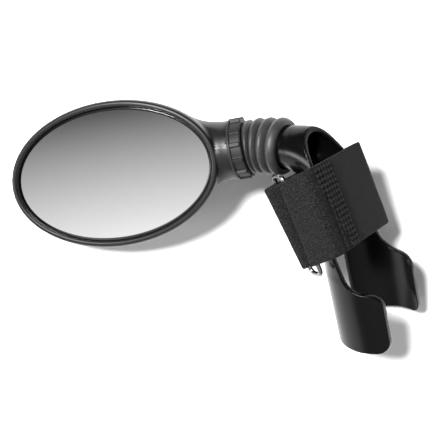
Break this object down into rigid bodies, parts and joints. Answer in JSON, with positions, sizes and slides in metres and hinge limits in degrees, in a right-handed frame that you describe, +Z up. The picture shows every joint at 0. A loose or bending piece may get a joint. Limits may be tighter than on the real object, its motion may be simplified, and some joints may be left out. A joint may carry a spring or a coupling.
{
  "type": "bicycle mirror",
  "caption": "Oval convex bicycle mirror on a booted ball joint, with a half-open saddle bracket and a hook-and-loop strap that clamp it on a brake hood.",
  "frame": {"origin": "bottom centre of the whole object's box as it lies face up on a table", "axes": "+X along the longest extent, from the mirror head towards the bracket; +Z up, the shortest extent"},
  "size_m": [0.1752, 0.1054, 0.0674],
  "materials": {
    "black_gloss": "glossy moulded",
    "black_matte": "matte moulded",
    "collar_plastic": "matte moulded",
    "liner_plastic": "smooth low-friction plastic",
    "boot_rubber": "matte rubber",
    "steel": "zinc plated",
    "mirror": "polished",
    "foam": "closed-cell foam",
    "strap_woven": "fine woven tape",
    "strap_loop": "fuzzy loop pile",
    "strap_hook": "rows of moulded hooks",
    "thread": "sewing thread",
    "plated_wire": "bright plated"
  },
  "bodies": {
    "bracket": {"saddle_bracket": "black_gloss", "strap_band": "strap_woven", "strap_keeper": "strap_woven", "keeper_stitches": "thread", "strap_ring": "plated_wire"},
    "ball": {"ball_stud": "steel", "spring_washer": "steel", "flat_washer": "steel", "stud_nut": "steel", "bellows_boot": "boot_rubber"},
    "liner": {"socket_liner": "liner_plastic"},
    "head": {"front_shell": "black_gloss", "rear_shell": "black_gloss", "mirror_glass": "mirror", "foam_pad": "foam", "socket_cup": "black_matte"},
    "collar": {"collar_ring": "collar_plastic"},
    "tail": {"strap_tail": "strap_loop", "hook_patch": "strap_hook", "tail_stitches": "thread"}
  },
  "joints": [
    {"name": "ball_spin", "type": "hinge", "parent": "bracket", "child": "ball", "pos_m": [0.01945, 0.03388, 0.03385], "axis": [0.8313, -0.1591, 0.5325], "continuous": true},
    {"name": "head_tilt", "type": "hinge", "parent": "ball", "child": "liner", "pos_m": [0.01945, 0.03388, 0.03385], "axis": [0.3034, -0.6729, -0.6747], "range_deg": [-8, 52], "deforming": ["bellows_boot"]},
    {"name": "head_turn", "type": "hinge", "parent": "liner", "child": "head", "pos_m": [0.01945, 0.03388, 0.03385], "axis": [-0.9487, -0.1469, -0.2802], "continuous": true},
    {"name": "collar_turn", "type": "hinge", "parent": "head", "child": "collar", "pos_m": [0.01945, 0.03388, 0.03385], "axis": [-0.9487, -0.1469, -0.2802], "range_deg": [0, 90]},
    {"name": "tail_peel", "type": "hinge", "parent": "bracket", "child": "tail", "pos_m": [0.03519, -0.0021, 0.04749], "axis": [0.3741, -0.858, -0.3519], "range_deg": [0, 110]}
  ]
}
